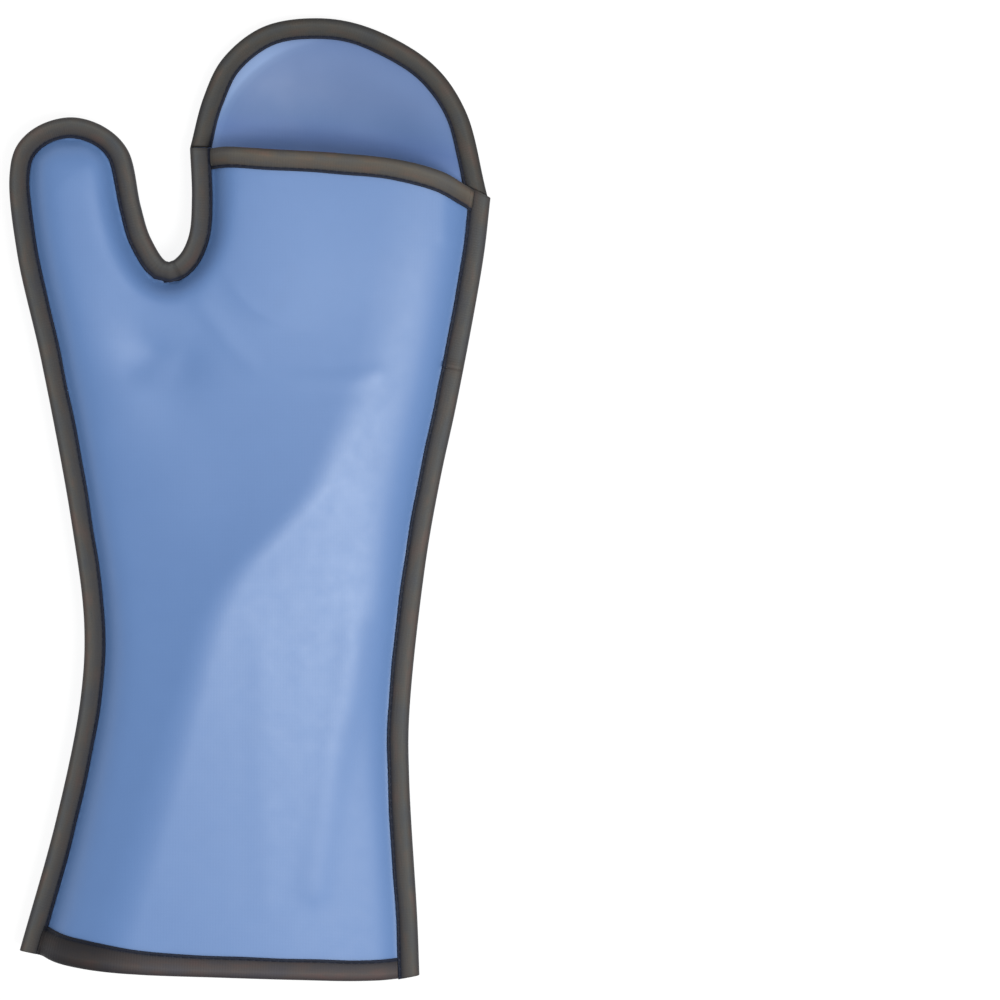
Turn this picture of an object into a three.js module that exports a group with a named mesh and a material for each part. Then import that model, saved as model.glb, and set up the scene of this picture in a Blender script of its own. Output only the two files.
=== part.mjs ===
// Lead lined open palm glove, lying palm side up on its back panel.
// Frame: millimetres, +X towards the little finger, +Y towards the fingertips, +Z up from the surface.
// Every outline row is in shares: up in 962nds of LENGTH from the hem, side in 480ths of WIDTH from the middle.

import * as THREE from 'three';

// Named sizes
const LENGTH = 400;          // hem to the tip of the finger half-moon
const WIDTH = 200;           // thumb side to little finger side, at the widest
const WALL = 2;              // sheet of each panel, cover and lining together
const TAPE = 1;              // thickness of the binding tape
const TAPE_WIDTH = 8;        // width of tape seen on each face
const GAP = 0.3;             // clearance between pieces
const EDGE_GAP = 0.4;        // clearance of a tape folded over one curved wall
const CROWN = 26;            // tallest rise of the palm panel above its seams
const SEAM_LIFT = 11;        // height of the seam above the surface at the palm
const FLANGE = TAPE_WIDTH + 4 * GAP;   // flat margin of the panels under the tape
const RAW = TAPE + EDGE_GAP; // from the finished edge to the cut edge of a panel
const HALF_PAIR = (WALL + GAP) / 2;

// Outline rows of the finished edges
const THUMB_AND_HAND = [
  { side: -230, up: 29 },
  { side: -193, up: 161 },
  { side: -169, up: 279 },
  { side: -165, up: 354 },
  { side: -178, up: 459 },
  { side: -208, up: 619 },
  { side: -232, up: 725 },
  { side: -240, up: 803 },
  { side: -233, up: 833 },
  { side: -212, up: 853 },
  { side: -178, up: 862, at: 'thumb tip' },
  { side: -145, up: 852 },
  { side: -122, up: 829 },
  { side: -109, up: 773 },
  { side: -99, up: 741 },
  { side: -82, up: 717, at: 'crotch' },
  { side: -71, up: 723 },
  { side: -61, up: 743 },
  { side: -58, up: 781 },
  { side: -60, up: 831 },
];
const LITTLE_FINGER = [
  { side: 169, up: 4 },
  { side: 167, up: 59 },
  { side: 159, up: 199 },
  { side: 159, up: 264 },
  { side: 175, up: 414 },
  { side: 190, up: 500 },
  { side: 207, up: 579 },
  { side: 233, up: 721 },
  { side: 240, up: 781 },
];
const TAPE_JOIN_UP = 606;
const HALF_MOON = [
  { side: -60, up: 832 },
  { side: -47, up: 882 },
  { side: -28, up: 921 },
  { side: 12, up: 953 },
  { side: 68, up: 962 },
  { side: 120, up: 952 },
  { side: 182, up: 916 },
  { side: 215, up: 869 },
  { side: 236, up: 787 },
];
const MOUTH = [
  { side: -60, up: 831 },
  { side: -30, up: 830.5 },
  { side: 20, up: 827 },
  { side: 90, up: 823 },
  { side: 150, up: 816.5 },
  { side: 192, up: 805.5 },
  { side: 216, up: 793 },
  { side: 240, up: 781 },
];
const HEM = [
  { side: -230, up: 29 },
  { side: -180, up: 18.4 },
  { side: -108, up: 11 },
  { side: -30, up: 7 },
  { side: 50, up: 3 },
  { side: 110, up: 0 },
  { side: 150, up: 0.5 },
  { side: 169, up: 4 },
];
// The crease that runs from the little finger's side of the palm down to the thumb side of the cuff
const CREASE = [
  { side: -190, up: 0 },
  { side: -168, up: 79 },
  { side: -144, up: 179 },
  { side: -112, up: 259 },
  { side: -72, up: 339 },
  { side: -16, up: 419 },
  { side: 42, up: 465 },
  { side: 82, up: 499 },
  { side: 112, up: 579 },
  { side: 138, up: 640 },
  { side: 154, up: 700 },
  { side: 164, up: 779 },
];

// Cross-section of the palm panel along the glove. up is a share of LENGTH; crown, roll and soft are shares of
// CROWN; reach and rollOver are shares of WIDTH; fall and flank are slopes in shares of CROWN over WIDTH.
// crown is the height at the crease, reach the way from the little finger's seam to the crease, roll the quick
// rise by that seam and rollOver its width, fall the slope on the thumb's side of the crease, soft the rounding
// of the crease and flank the slope up from the thumb side seam
const FORM = [
  { up: 0.00, crown: 1.00, reach: 0.74, roll: 0.30, rollOver: 0.15, fall: 3.6, soft: 0.22, flank: 3.6 },
  { up: 0.08, crown: 1.00, reach: 0.685, roll: 0.32, rollOver: 0.15, fall: 3.0, soft: 0.20, flank: 3.4 },
  { up: 0.19, crown: 0.98, reach: 0.62, roll: 0.30, rollOver: 0.12, fall: 2.4, soft: 0.16, flank: 2.8 },
  { up: 0.29, crown: 0.95, reach: 0.54, roll: 0.22, rollOver: 0.07, fall: 2.0, soft: 0.12, flank: 2.2 },
  { up: 0.39, crown: 0.91, reach: 0.45, roll: 0.17, rollOver: 0.05, fall: 1.5, soft: 0.10, flank: 1.7 },
  { up: 0.49, crown: 0.84, reach: 0.29, roll: 0.16, rollOver: 0.045, fall: 0.9, soft: 0.10, flank: 0.9 },
  { up: 0.56, crown: 0.71, reach: 0.23, roll: 0.15, rollOver: 0.045, fall: 0.6, soft: 0.10, flank: 0.7 },
  { up: 0.63, crown: 0.57, reach: 0.19, roll: 0.13, rollOver: 0.045, fall: 0.3, soft: 0.10, flank: 0.7 },
  { up: 0.69, crown: 0.49, reach: 0.17, roll: 0.12, rollOver: 0.045, fall: 0.0, soft: 0.11, flank: 0.9 },
  { up: 0.75, crown: 0.47, reach: 0.16, roll: 0.11, rollOver: 0.045, fall: -0.2, soft: 0.12, flank: 1.0 },
  { up: 0.87, crown: 0.47, reach: 0.155, roll: 0.10, rollOver: 0.045, fall: -0.2, soft: 0.16, flank: 1.1 },
];
// How the palm panel leaves each seam: rise in shares of CROWN, over in shares of WIDTH, slope as above
const LEAVE = {
  little: { rise: 0.12, over: 0.0225 },
  thumb: { rise: 0.44, over: 0.027 },
  thumbInner: { rise: 0.40, over: 0.022, slope: 1.3 },
  hand: { rise: 0.46, over: 0.023, slope: 1.1 },
};
const BLEND = 0.24;
const HAND_BLEND = 0.08;
const LIFT = [
  { up: 0.00, lift: 0.74 },
  { up: 0.30, lift: 1.00 },
  { up: 0.70, lift: 1.00 },
  { up: 0.86, lift: 0.84 },
  { up: 1.00, lift: 0.64 },
];
// Ridges and dents of the thumb's root, rise in shares of CROWN over a half width in shares of WIDTH
const DENTS = [
  { side: -190, up: 779, toSide: -170, toUp: 679, rise: 0.045, over: 0.06 },
  { side: -170, up: 679, toSide: -130, toUp: 569, rise: 0.09, over: 0.07 },
  { side: -135, up: 560, toSide: -90, toUp: 490, rise: 0.13, over: 0.10 },
  { side: -70, up: 614, toSide: -108, toUp: 626, rise: -0.09, over: 0.06 },
];
// The pad of the palm: radius in shares of WIDTH, rise and blend of CROWN, slopes of CROWN over WIDTH
const PAD = { side: 60, up: 745, radius: 0.18, rise: 0.50, tilt: 0.35, rear: 0.1, edge: 2.4, blend: 0.04 };
const RIM_RISE = 0.15;       // width of the back panel's rise to its seams, in shares of WIDTH
const HEM_RISE = 0.08;       // and to its hem

// Fineness of the mesh
const POINTS_A_ROW = 10;      // points of a curve for each row of its table
const SHOULDER = 4.3;        // from the flat margin to the next row of corners
const PALM_MESH = 8.5;       // side of the palm panel's triangles
const BACK_MESH = 14;        // and of the back panel's
const CUT_BLEND = 18;        // length over which a tape turns to its slanting end

// Curves
const place = (side, up) => [(side * WIDTH) / 480, (up * LENGTH) / 962 - LENGTH / 2];

function curveThrough(rows) {
  const p = rows.map((r) => place(r.side, r.up));
  const first = [2 * p[0][0] - p[1][0], 2 * p[0][1] - p[1][1]];
  const n = p.length;
  const last = [2 * p[n - 1][0] - p[n - 2][0], 2 * p[n - 1][1] - p[n - 2][1]];
  const q = [first, ...p, last];
  const out = [];
  const knot = (t, a, b) => t + Math.sqrt(Math.hypot(b[0] - a[0], b[1] - a[1]));
  const mix = (a, b, u, v, w) => [
    ((v - w) * a[0] + (w - u) * b[0]) / (v - u),
    ((v - w) * a[1] + (w - u) * b[1]) / (v - u),
  ];
  for (let i = 1; i < q.length - 2; i += 1) {
    const t0 = 0;
    const t1 = knot(t0, q[i - 1], q[i]);
    const t2 = knot(t1, q[i], q[i + 1]);
    const t3 = knot(t2, q[i + 1], q[i + 2]);
    for (let k = 0; k < POINTS_A_ROW; k += 1) {
      const t = t1 + ((t2 - t1) * k) / POINTS_A_ROW;
      const a1 = mix(q[i - 1], q[i], t0, t1, t);
      const a2 = mix(q[i], q[i + 1], t1, t2, t);
      const a3 = mix(q[i + 1], q[i + 2], t2, t3, t);
      const b1 = mix(a1, a2, t0, t2, t);
      const b2 = mix(a2, a3, t1, t3, t);
      out.push(mix(b1, b2, t1, t2, t));
    }
  }
  out.push(p[n - 1]);
  return out;
}

// A path with its arc length; turn is +1 when the glove lies to the right of the path
class Path {
  constructor(rows, turn) {
    this.rows = rows;
    this.points = curveThrough(rows);
    this.turn = turn;
    this.run = [0];
    for (let i = 1; i < this.points.length; i += 1) {
      const a = this.points[i - 1];
      const b = this.points[i];
      this.run.push(this.run[i - 1] + Math.hypot(b[0] - a[0], b[1] - a[1]));
    }
    this.length = this.run[this.run.length - 1];
  }

  spot(s) {
    let i = 1;
    while (i < this.run.length - 1 && this.run[i] < s) i += 1;
    const f = (s - this.run[i - 1]) / (this.run[i] - this.run[i - 1]);
    const a = this.points[i - 1];
    const b = this.points[i];
    return [a[0] + (b[0] - a[0]) * f, a[1] + (b[1] - a[1]) * f];
  }

  at(s) {
    const p = this.spot(s);
    const a = this.spot(s - 1.2);
    const b = this.spot(s + 1.2);
    const l = Math.hypot(b[0] - a[0], b[1] - a[1]);
    const t = [(b[0] - a[0]) / l, (b[1] - a[1]) / l];
    const n = [t[1] * this.turn, -t[0] * this.turn];
    return { p, t, n };
  }

  inward(s, offset, skew = 0) {
    const { p, t, n } = this.at(s);
    return [p[0] + offset * (n[0] + skew * t[0]), p[1] + offset * (n[1] + skew * t[1])];
  }

  pointAt(name) {
    return this.rows.findIndex((r) => r.at === name) * POINTS_A_ROW;
  }

  runAt(name) {
    return this.run[this.pointAt(name)];
  }

  runAtUp(up) {
    const y = place(0, up)[1];
    let i = 1;
    while (i < this.points.length - 1 && this.points[i][1] < y) i += 1;
    return this.run[i];
  }
}

const sidePath = new Path(THUMB_AND_HAND, 1);
const littlePath = new Path(LITTLE_FINGER, -1);
const moonPath = new Path(HALF_MOON, 1);
const mouthPath = new Path(MOUTH, 1);
const hemPath = new Path(HEM, -1);
const crotchRun = sidePath.runAt('crotch');
const joinRun = littlePath.runAtUp(TAPE_JOIN_UP);

// Distances to the seams
const seamOf = (path, from, to) => path.points.filter((p, i) => i >= from && i <= to && (i % 2 === 0 || i === to));
const tipPoint = sidePath.pointAt('thumb tip');
const crotchPoint = sidePath.pointAt('crotch');
const seamThumbSide = seamOf(sidePath, 0, tipPoint);
const seamThumbInner = seamOf(sidePath, tipPoint, crotchPoint);
const seamHandInner = seamOf(sidePath, crotchPoint, sidePath.points.length - 1);
const seamLittle = seamOf(littlePath, 0, littlePath.points.length - 1);
const seamMoon = seamOf(moonPath, 0, moonPath.points.length - 1);
const seamHem = seamOf(hemPath, 0, hemPath.points.length - 1);

function distanceTo(line, x, y) {
  let best = Infinity;
  for (let i = 1; i < line.length; i += 1) {
    const a = line[i - 1];
    const b = line[i];
    const dx = b[0] - a[0];
    const dy = b[1] - a[1];
    const f = Math.min(Math.max(((x - a[0]) * dx + (y - a[1]) * dy) / (dx * dx + dy * dy), 0), 1);
    best = Math.min(best, Math.hypot(x - a[0] - f * dx, y - a[1] - f * dy));
  }
  return best;
}

function fromTable(table, column, value) {
  const n = table.length;
  const slope = (i) => {
    const a = Math.max(i - 1, 0);
    const b = Math.min(i + 1, n - 1);
    return (table[b][column] - table[a][column]) / (table[b].up - table[a].up);
  };
  let i = 0;
  while (i < n - 2 && value > table[i + 1].up) i += 1;
  const h = table[i + 1].up - table[i].up;
  const t = Math.min(Math.max((value - table[i].up) / h, 0), 1);
  const t2 = t * t;
  const t3 = t2 * t;
  return (2 * t3 - 3 * t2 + 1) * table[i][column] + (t3 - 2 * t2 + t) * h * slope(i)
    + (3 * t2 - 2 * t3) * table[i + 1][column] + (t3 - t2) * h * slope(i + 1);
}

function lesser(a, b, round) {
  const h = Math.max(round - Math.abs(a - b), 0) / round;
  return Math.min(a, b) - (h * h * round) / 4;
}

const greater = (a, b, round) => -lesser(-a, -b, round);
const swell = (s, over) => 1 - Math.exp(-((s / over) ** 1.5));
const easing = (t) => t * t * (3 - 2 * t);
const clamp = (v) => Math.min(Math.max(v, 0), 1);

// Heights of the middle of each panel's wall
const seamHeight = (y) => SEAM_LIFT * fromTable(LIFT, 'lift', clamp((y + LENGTH / 2) / LENGTH));

const creaseLine = CREASE.map((r) => place(r.side, r.up));

function creaseAcross(y) {
  let i = 1;
  while (i < creaseLine.length - 1 && creaseLine[i][1] < y) i += 1;
  const a = creaseLine[i - 1];
  const b = creaseLine[i];
  const f = clamp((y - a[1]) / (b[1] - a[1]));
  return a[0] + (b[0] - a[0]) * f;
}

function palmRise(x, y) {
  const up = clamp((y + LENGTH / 2) / LENGTH);
  const inside = (line) => Math.max(distanceTo(line, x, y) - FLANGE, 0);
  const a = inside(seamThumbSide);
  const b = inside(seamThumbInner);
  const c = inside(seamHandInner);
  const r = inside(seamLittle);
  const column = (name) => fromTable(FORM, name, up);
  const crown = CROWN * column('crown');
  const roll = CROWN * column('roll');
  const reach = WIDTH * column('reach') - FLANGE;
  const over = WIDTH * column('rollOver');
  const steep = CROWN / WIDTH;
  const leave = (way, d) => CROWN * way.rise * swell(d, WIDTH * way.over);
  const rest = crown - leave(LEAVE.little, reach) - roll * swell(reach, over);
  const little = leave(LEAVE.little, r) + roll * swell(r, over) + (rest / reach) * r;
  const thumb = leave(LEAVE.thumb, a) + steep * column('flank') * a;
  const thumbInner = leave(LEAVE.thumbInner, b) + steep * LEAVE.thumbInner.slope * b;
  const hand = leave(LEAVE.hand, c) + steep * LEAVE.hand.slope * c;
  let roof = crown - steep * column('fall') * (creaseAcross(y) - x);
  for (const d of DENTS) {
    const p = place(d.side, d.up);
    const q = place(d.toSide, d.toUp);
    const away = distanceTo([p, q], x, y);
    roof += CROWN * d.rise * Math.exp(-((away / (WIDTH * d.over)) ** 2));
  }
  const middle = place(PAD.side, PAD.up);
  const dx = x - middle[0];
  const dy = y - middle[1];
  const beyond = Math.max(Math.hypot(dx / 1.05, dy / 1.1) - WIDTH * PAD.radius, 0);
  const pad = CROWN * PAD.rise - steep * (PAD.tilt * dx - PAD.rear * dy + PAD.edge * beyond);
  const top = greater(roof, pad, CROWN * PAD.blend);
  const blend = CROWN * BLEND;
  const inner = lesser(lesser(lesser(thumb, thumbInner, blend), top, blend), hand, CROWN * HAND_BLEND);
  return Math.max(lesser(inner, little, CROWN * column('soft')), 0);
}

const palmHeight = (x, y) => seamHeight(y) + HALF_PAIR + palmRise(x, y);

function backHeight(x, y) {
  let sum = 0;
  for (const line of [seamThumbSide, seamThumbInner, seamHandInner, seamLittle, seamMoon]) {
    sum += 1 / Math.max(distanceTo(line, x, y), 1e-3) ** 4;
  }
  const near = sum ** -0.25;
  const rim = easing(clamp(1 - (near - FLANGE) / (WIDTH * RIM_RISE)));
  const hem = easing(clamp(1 - (distanceTo(seamHem, x, y) - FLANGE) / (WIDTH * HEM_RISE)));
  const low = WALL / 2;
  return low + rim * (seamHeight(y) - HALF_PAIR - low) + (1 - rim) * hem * RAW;
}

function normalOf(height, x, y) {
  const e = 0.4;
  const gx = (height(x + e, y) - height(x - e, y)) / (2 * e);
  const gy = (height(x, y + e) - height(x, y - e)) / (2 * e);
  const l = Math.hypot(gx, gy, 1);
  return [-gx / l, -gy / l, 1 / l];
}

// Stations along a path, closer together where the path or the surface turns
function stationsOf(path, from, to, height, step = 9, nearStart = 5, nearEnd = nearStart) {
  const list = [from, from + nearStart];
  const fine = 0.5;
  let cost = 0;
  const lookAt = (s) => {
    const q = path.at(s);
    const p = path.inward(s, 5);
    return { t: q.t, n: height ? normalOf(height, p[0], p[1]) : [0, 0, 1] };
  };
  let before = lookAt(from + nearStart);
  for (let s = from + nearStart + fine; s < to - nearEnd; s += fine) {
    const now = lookAt(s);
    const bend = Math.acos(Math.min(1, before.t[0] * now.t[0] + before.t[1] * now.t[1]));
    const dot = before.n[0] * now.n[0] + before.n[1] * now.n[1] + before.n[2] * now.n[2];
    const roll = Math.acos(Math.min(1, dot));
    cost += fine / step + bend / 0.28 + roll / 0.16;
    before = now;
    if (cost >= 1 && to - nearEnd - s > 1.2) {
      list.push(s);
      cost = 0;
    }
  }
  list.push(to - nearEnd, to);
  return list;
}

// Meshes
function meshOf(name, positions, triangles, colour, roughness) {
  let volume = 0;
  for (const [i, j, k] of triangles) {
    const a = positions[i];
    const b = positions[j];
    const c = positions[k];
    volume += (a[0] * (b[1] * c[2] - b[2] * c[1]) - a[1] * (b[0] * c[2] - b[2] * c[0])
      + a[2] * (b[0] * c[1] - b[1] * c[0])) / 6;
  }
  const index = [];
  for (const [i, j, k] of triangles) {
    if (volume > 0) index.push(i, j, k);
    else index.push(i, k, j);
  }
  const geometry = new THREE.BufferGeometry();
  geometry.setAttribute('position', new THREE.Float32BufferAttribute(positions.flat(), 3));
  geometry.setIndex(index);
  geometry.computeVertexNormals();
  const material = new THREE.MeshStandardMaterial({ color: colour, roughness, metalness: 0 });
  const mesh = new THREE.Mesh(geometry, material);
  mesh.name = name;
  return mesh;
}

// A tape folded over an edge: ten corners in (inward, height) around the fold
function tapeSection(inner) {
  const outer = inner + TAPE;
  const fold = TAPE / 2;
  return [
    [TAPE_WIDTH, outer], [fold, outer], [0, outer - fold], [0, fold - outer], [fold, -outer],
    [TAPE_WIDTH, -outer], [TAPE_WIDTH, -inner], [TAPE, -inner], [TAPE, inner], [TAPE_WIDTH, inner],
  ];
}

function sweep(name, section, rings, colour) {
  const positions = rings.flat();
  const n = section.length;
  const cap = THREE.ShapeUtils.triangulateShape(section.map(([a, b]) => new THREE.Vector2(a, b)), []);
  const triangles = cap.map((t) => [...t]);
  const end = (rings.length - 1) * n;
  for (const [i, j, k] of cap) triangles.push([end + i, end + k, end + j]);
  for (let r = 0; r < rings.length - 1; r += 1) {
    for (let j = 0; j < n; j += 1) {
      const a = r * n + j;
      const b = (r + 1) * n + j;
      const c = (r + 1) * n + ((j + 1) % n);
      const d = r * n + ((j + 1) % n);
      triangles.push([a, b, c], [a, c, d]);
    }
  }
  return meshOf(name, positions, triangles, colour, 0.75);
}

// skewAt: how far the end of a tape leans along the path, so that it meets its neighbour squarely
function skewAt(path, s, from, to, cut) {
  const lean = (where, toward) => {
    if (!toward) return 0;
    const { t, n } = path.at(where);
    const skew = (toward[0] * t[0] + toward[1] * t[1]) / (toward[0] * n[0] + toward[1] * n[1]);
    return skew * clamp(1 - Math.abs(s - where) / CUT_BLEND);
  };
  return lean(from, cut.start) + lean(to, cut.end);
}

// Tape over a seam that holds both panels
function seamTape(name, path, list, cut, colour) {
  const section = tapeSection(HALF_PAIR + WALL / 2 + GAP);
  const from = list[0];
  const to = list[list.length - 1];
  const rings = list.map((s) => {
    const skew = skewAt(path, s, from, to, cut);
    return section.map(([a, b]) => {
      const [x, y] = path.inward(s, a, skew);
      return [x, y, seamHeight(y) + b];
    });
  });
  return sweep(name, section, rings, colour);
}

// Tape over the free edge of one panel; the face towards the other panel starts a little later
function edgeTape(name, path, list, height, cut, tuck, colour) {
  const section = tapeSection(WALL / 2 + EDGE_GAP);
  const from = list[0];
  const to = list[list.length - 1];
  const rings = list.map((s, i) => section.map(([a, b]) => {
    let run = s;
    if (b * tuck.side > 0 && i === 0) run = s + tuck.start;
    if (b * tuck.side > 0 && i === list.length - 1) run = s - tuck.end;
    const [x, y] = path.inward(run, a, skewAt(path, run, from, to, cut));
    const atEnd = (i === 0 || i === list.length - 1) && run === s;
    const n = atEnd ? [0, 0, 1] : normalOf(height, x, y);
    return [x + n[0] * b, y + n[1] * b, height(x, y) + n[2] * b];
  }));
  return sweep(name, section, rings, colour);
}

// Panels
function cornerOf(first, atEnd, second, atStart, offset, offset2 = offset) {
  let best = { gap: Infinity };
  for (let i = -40; i <= 120; i += 1) {
    const s = atEnd ? first.length - i * 0.2 : i * 0.2;
    const p = first.inward(s, offset);
    for (let j = -40; j <= 120; j += 1) {
      const r = atStart ? j * 0.2 : second.length - j * 0.2;
      const q = second.inward(r, offset2);
      const gap = Math.hypot(p[0] - q[0], p[1] - q[1]);
      if (gap < best.gap) best = { gap, s, r, p };
    }
  }
  return best;
}

function insideLoop(loop, x, y) {
  let inside = false;
  for (let i = 0, j = loop.length - 1; i < loop.length; j = i, i += 1) {
    const a = loop[i];
    const b = loop[j];
    if ((a[1] > y) !== (b[1] > y) && x < ((b[0] - a[0]) * (y - a[1])) / (b[1] - a[1]) + a[0]) inside = !inside;
  }
  return inside;
}

function triangulate(points) {
  const span = 4000;
  const all = [...points, [-span, -span], [span, -span], [0, span]];
  const n = points.length;
  const circle = (i, j, k) => {
    const [ax, ay] = all[i];
    const [bx, by] = all[j];
    const [cx, cy] = all[k];
    const d = 2 * (ax * (by - cy) + bx * (cy - ay) + cx * (ay - by));
    const a = ax * ax + ay * ay;
    const b = bx * bx + by * by;
    const c = cx * cx + cy * cy;
    const x = (a * (by - cy) + b * (cy - ay) + c * (ay - by)) / d;
    const y = (a * (cx - bx) + b * (ax - cx) + c * (bx - ax)) / d;
    return { t: [i, j, k], x, y, r: (ax - x) ** 2 + (ay - y) ** 2 };
  };
  let list = [circle(n, n + 1, n + 2)];
  for (let p = 0; p < n; p += 1) {
    const [x, y] = all[p];
    const edges = new Map();
    const keep = [];
    for (const c of list) {
      if ((x - c.x) ** 2 + (y - c.y) ** 2 < c.r) {
        const [i, j, k] = c.t;
        for (const [u, v] of [[i, j], [j, k], [k, i]]) {
          const back = `${v},${u}`;
          if (edges.has(back)) edges.delete(back);
          else edges.set(`${u},${v}`, [u, v]);
        }
      } else keep.push(c);
    }
    for (const [u, v] of edges.values()) keep.push(circle(u, v, p));
    list = keep;
  }
  return list.map((c) => c.t).filter((t) => t.every((i) => i < n));
}

// chain: the paths around a panel in order, each {path, list, forward}
function loopOf(chain, offset, margin) {
  const loop = [];
  const corners = chain.map((side, i) => {
    const next = chain[(i + 1) % chain.length];
    if (side.smooth) return null;
    return cornerOf(side.path, side.forward, next.path, next.forward, offset);
  });
  chain.forEach((side, i) => {
    const before = corners[(i + chain.length - 1) % chain.length];
    const after = corners[i];
    const startRun = before ? before.r : side.forward ? 0 : side.path.length;
    const endRun = after ? after.s : side.forward ? side.path.length : 0;
    const low = Math.min(startRun, endRun);
    const high = Math.max(startRun, endRun);
    const lowMargin = (side.forward ? before : after) ? margin : -0.01;
    const highMargin = (side.forward ? after : before) ? margin : -0.01;
    let runs = side.list.filter((s) => s >= low + lowMargin && s <= high - highMargin);
    if (!side.forward) runs = [...runs].reverse();
    for (const s of runs) loop.push(side.path.inward(s, offset));
    if (after) loop.push(after.p);
  });
  return loop.filter((p, i) => {
    const q = loop[(i + 1) % loop.length];
    return Math.hypot(p[0] - q[0], p[1] - q[1]) > 0.8;
  });
}

function panel(name, chain, height, spacing, extra, colour) {
  const raw = loopOf(chain, RAW, 1.5);
  const inner = loopOf(chain, FLANGE, 2.5);
  const shoulder = loopOf(chain, FLANGE + SHOULDER, 4);
  const points = [...raw, ...inner, ...shoulder];
  const closed = [...shoulder, shoulder[0]];
  chain.forEach((side, i) => {
    const next = chain[(i + 1) % chain.length];
    if (side.smooth) return;
    const middle = (RAW + FLANGE) / 2;
    for (const [o, p] of [[FLANGE, middle], [middle, FLANGE]]) {
      points.push(cornerOf(side.path, side.forward, next.path, next.forward, o, p).p);
    }
  });
  const rim = points.length;
  for (const p of extra) {
    if (insideLoop(shoulder, p[0], p[1]) && distanceTo(closed, p[0], p[1]) > spacing * 0.5) points.push(p);
  }
  const fixed = points.length;
  const rowHeight = spacing * Math.sqrt(0.75);
  for (let j = -40; j <= 40; j += 1) {
    for (let i = -30; i <= 30; i += 1) {
      const x = (i + (j % 2 ? 0.5 : 0)) * spacing + 0.02 * Math.sin(i * 7.1 + j * 3.3);
      const y = j * rowHeight + 0.02 * Math.sin(i * 2.7 + j * 5.9);
      if (!insideLoop(shoulder, x, y) || distanceTo(closed, x, y) < spacing * 0.55) continue;
      let clear = true;
      for (let k = rim; k < fixed && clear; k += 1) {
        if (Math.hypot(points[k][0] - x, points[k][1] - y) < spacing * 0.55) clear = false;
      }
      if (clear) points.push([x, y]);
    }
  }
  const flat = triangulate(points).filter(([i, j, k]) => insideLoop(
    raw,
    (points[i][0] + points[j][0] + points[k][0]) / 3,
    (points[i][1] + points[j][1] + points[k][1]) / 3,
  ));
  const count = points.length;
  const half = WALL / 2;
  const above = [];
  const below = [];
  for (const [x, y] of points) {
    const n = normalOf(height, x, y);
    const z = height(x, y);
    above.push([x + n[0] * half, y + n[1] * half, z + n[2] * half]);
    below.push([x - n[0] * half, y - n[1] * half, z - n[2] * half]);
  }
  const triangles = [];
  const open = new Map();
  for (const [i, j, k] of flat) {
    triangles.push([i, j, k], [count + i, count + k, count + j]);
    for (const [u, v] of [[i, j], [j, k], [k, i]]) {
      const back = `${v},${u}`;
      if (open.has(back)) open.delete(back);
      else open.set(`${u},${v}`, [u, v]);
    }
  }
  for (const [u, v] of open.values()) triangles.push([u, count + u, count + v], [u, count + v, v]);
  return meshOf(name, [...above, ...below], triangles, colour, 0.5);
}

// Stations shared by the panels and the tapes
const half = GAP / 2;
const thumbRuns = stationsOf(sidePath, 0, crotchRun - half, null, 9, 5, 2.2);
const handRuns = stationsOf(sidePath, crotchRun + half, sidePath.length, null, 9, 2.2, 5);
const lowerRuns = stationsOf(littlePath, 0, joinRun - half, null, 12);
const upperRuns = stationsOf(littlePath, joinRun + half, littlePath.length, null, 12);
const moonRuns = stationsOf(moonPath, 0, moonPath.length, null);
const beside = TAPE_WIDTH + 2 * GAP;
const mouthFrom = cornerOf(sidePath, true, mouthPath, true, beside, 0).r;
const mouthTo = cornerOf(mouthPath, true, littlePath, false, 0, beside).s;
const hemTo = cornerOf(littlePath, false, hemPath, false, beside, 0).r;
const hemFrom = cornerOf(hemPath, false, sidePath, true, 0, beside).s;
const mouthRuns = stationsOf(mouthPath, mouthFrom, mouthTo, palmHeight, 8, 2.6);
const hemPalmRuns = stationsOf(hemPath, hemFrom, hemTo, palmHeight, 10, 4);
const hemBackRuns = stationsOf(hemPath, hemFrom, hemTo, backHeight, 12, 4);
const sideRuns = [...thumbRuns.slice(0, -1), crotchRun, ...handRuns.slice(1)];
const littleRuns = [...lowerRuns.slice(0, -1), joinRun, ...upperRuns.slice(1)];

const palmChain = [
  { path: sidePath, list: sideRuns, forward: true },
  { path: mouthPath, list: mouthRuns, forward: true },
  { path: littlePath, list: littleRuns, forward: false },
  { path: hemPath, list: hemPalmRuns, forward: false },
];
const backChain = [
  { path: sidePath, list: sideRuns, forward: true, smooth: true },
  { path: moonPath, list: moonRuns, forward: true, smooth: true },
  { path: littlePath, list: littleRuns, forward: false },
  { path: hemPath, list: hemBackRuns, forward: false },
];

const creaseExtra = [];
for (let i = 1; i < creaseLine.length; i += 1) {
  const a = creaseLine[i - 1];
  const b = creaseLine[i];
  const steps = Math.ceil(Math.hypot(b[0] - a[0], b[1] - a[1]) / PALM_MESH);
  for (let k = 0; k < steps; k += 1) {
    creaseExtra.push([a[0] + ((b[0] - a[0]) * k) / steps, a[1] + ((b[1] - a[1]) * k) / steps]);
  }
}

// Directions in which the tape ends are cut
const hemAtThumb = hemPath.at(0).t;
const hemAtLittle = hemPath.at(hemPath.length).t.map((v) => -v);
const mouthAtLittle = mouthPath.at(mouthPath.length).t.map((v) => -v);
const mouthAtHand = mouthPath.at(0).t;
const alongHand = sidePath.at(sidePath.length).t.map((v) => -v);
const alongLittleTop = littlePath.at(littlePath.length).t.map((v) => -v);
const alongThumb = sidePath.at(0).t;
const alongLittleHem = littlePath.at(0).t;

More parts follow.
